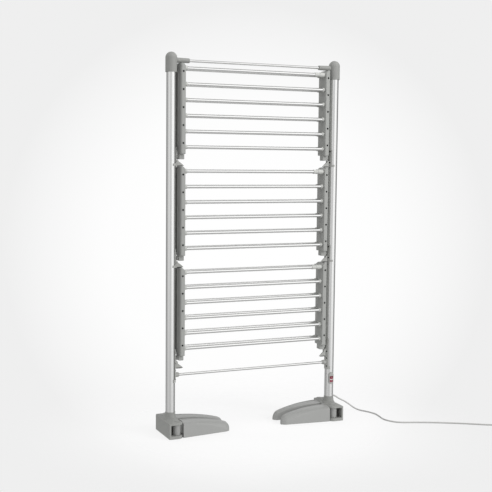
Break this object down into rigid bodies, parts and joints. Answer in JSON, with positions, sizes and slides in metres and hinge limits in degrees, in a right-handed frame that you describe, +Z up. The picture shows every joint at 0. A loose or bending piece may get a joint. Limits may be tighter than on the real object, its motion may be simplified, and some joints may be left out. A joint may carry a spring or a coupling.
{
  "type": "heated clothes airer",
  "caption": "Free-standing heated clothes airer: two posts on folding feet carry fold-down wings of heated rungs, with a rocker switch and a supply cord.",
  "frame": {"origin": "on the floor, midway between the two posts", "axes": "+X across the airer towards the post with the switch and the cord, +Y towards the back, +Z up"},
  "size_m": [1.4394, 0.493, 1.4082],
  "materials": {
    "post_metal": "satin grey coated tube",
    "bar_metal": "satin",
    "rung_metal": "satin anodised",
    "cap_plastic": "smooth satin grey",
    "rail_plastic": "smooth satin grey",
    "bracket_plastic": "smooth satin grey",
    "base_plastic": "fine satin grey",
    "collar_plastic": "smooth satin light grey",
    "black_plastic": "black",
    "rocker_plastic": "translucent-looking dark red gloss",
    "cord_plastic": "light grey sheath",
    "pad_rubber": "black",
    "element_rubber": "silicone sheath",
    "screw_metal": "dark",
    "pin_metal": "plain",
    "plug_metal": "bright"
  },
  "bodies": {
    "stand": {"left_post": "post_metal", "right_post": "post_metal", "left_cap": "cap_plastic", "right_cap": "cap_plastic", "top_bar": "bar_metal", "bottom_bar": "bar_metal", "left_bracket_1": "bracket_plastic", "left_bracket_2": "bracket_plastic", "left_bracket_3": "bracket_plastic", "right_bracket_1": "bracket_plastic", "right_bracket_2": "bracket_plastic", "right_bracket_3": "bracket_plastic", "bracket_screws": "screw_metal", "wing_pivot_pins": "pin_metal", "left_base": "base_plastic", "right_base": "base_plastic", "base_covers": "black_plastic", "base_pads": "pad_rubber", "leg_hinge_pins": "pin_metal", "switch_housing": "bracket_plastic", "switch_body": "black_plastic", "cord_gland": "cord_plastic", "power_cord": "cord_plastic", "cord_coil": "cord_plastic", "cord_tie": "black_plastic", "plug_body": "cord_plastic", "plug_pins": "plug_metal"},
    "wing_1": {"wing_1_left_front_shell": "rail_plastic", "wing_1_left_back_shell": "rail_plastic", "wing_1_right_front_shell": "rail_plastic", "wing_1_right_back_shell": "rail_plastic", "wing_1_rungs": "rung_metal", "wing_1_collars": "collar_plastic", "wing_1_heating_elements": "element_rubber", "wing_1_screws": "screw_metal"},
    "wing_2": {"wing_2_left_front_shell": "rail_plastic", "wing_2_left_back_shell": "rail_plastic", "wing_2_right_front_shell": "rail_plastic", "wing_2_right_back_shell": "rail_plastic", "wing_2_rungs": "rung_metal", "wing_2_collars": "collar_plastic", "wing_2_heating_elements": "element_rubber", "wing_2_screws": "screw_metal"},
    "wing_3": {"wing_3_left_front_shell": "rail_plastic", "wing_3_left_back_shell": "rail_plastic", "wing_3_right_front_shell": "rail_plastic", "wing_3_right_back_shell": "rail_plastic", "wing_3_rungs": "rung_metal", "wing_3_collars": "collar_plastic", "wing_3_heating_elements": "element_rubber", "wing_3_screws": "screw_metal"},
    "leg_left_front": {"leg_left_front": "base_plastic", "pad_left_front": "pad_rubber"},
    "leg_left_rear": {"leg_left_rear": "base_plastic", "pad_left_rear": "pad_rubber"},
    "leg_right_front": {"leg_right_front": "base_plastic", "pad_right_front": "pad_rubber"},
    "leg_right_rear": {"leg_right_rear": "base_plastic", "pad_right_rear": "pad_rubber"},
    "rocker": {"switch_rocker": "rocker_plastic"}
  },
  "joints": [
    {"name": "wing_1_hinge", "type": "hinge", "parent": "stand", "child": "wing_1", "pos_m": [0, 0.004, 1.0315], "axis": [1, 0, 0], "range_deg": [0, 90]},
    {"name": "wing_2_hinge", "type": "hinge", "parent": "stand", "child": "wing_2", "pos_m": [0, 0.004, 0.6598], "axis": [1, 0, 0], "range_deg": [0, 90]},
    {"name": "wing_3_hinge", "type": "hinge", "parent": "stand", "child": "wing_3", "pos_m": [0, 0.004, 0.2881], "axis": [1, 0, 0], "range_deg": [0, 90]},
    {"name": "leg_left_front_hinge", "type": "hinge", "parent": "stand", "child": "leg_left_front", "pos_m": [-0.328, -0.05, 0.033], "axis": [0, 0, -1], "range_deg": [0, 90]},
    {"name": "leg_left_rear_hinge", "type": "hinge", "parent": "stand", "child": "leg_left_rear", "pos_m": [-0.328, 0.064, 0.033], "axis": [0, 0, 1], "range_deg": [0, 90]},
    {"name": "leg_right_front_hinge", "type": "hinge", "parent": "stand", "child": "leg_right_front", "pos_m": [0.328, -0.05, 0.033], "axis": [0, 0, 1], "range_deg": [0, 90]},
    {"name": "leg_right_rear_hinge", "type": "hinge", "parent": "stand", "child": "leg_right_rear", "pos_m": [0.328, 0.064, 0.033], "axis": [0, 0, -1], "range_deg": [0, 90]},
    {"name": "rocker_hinge", "type": "hinge", "parent": "stand", "child": "rocker", "pos_m": [0.335, -0.016, 0.158], "axis": [-1, 0, 0], "range_deg": [0, 14]}
  ]
}
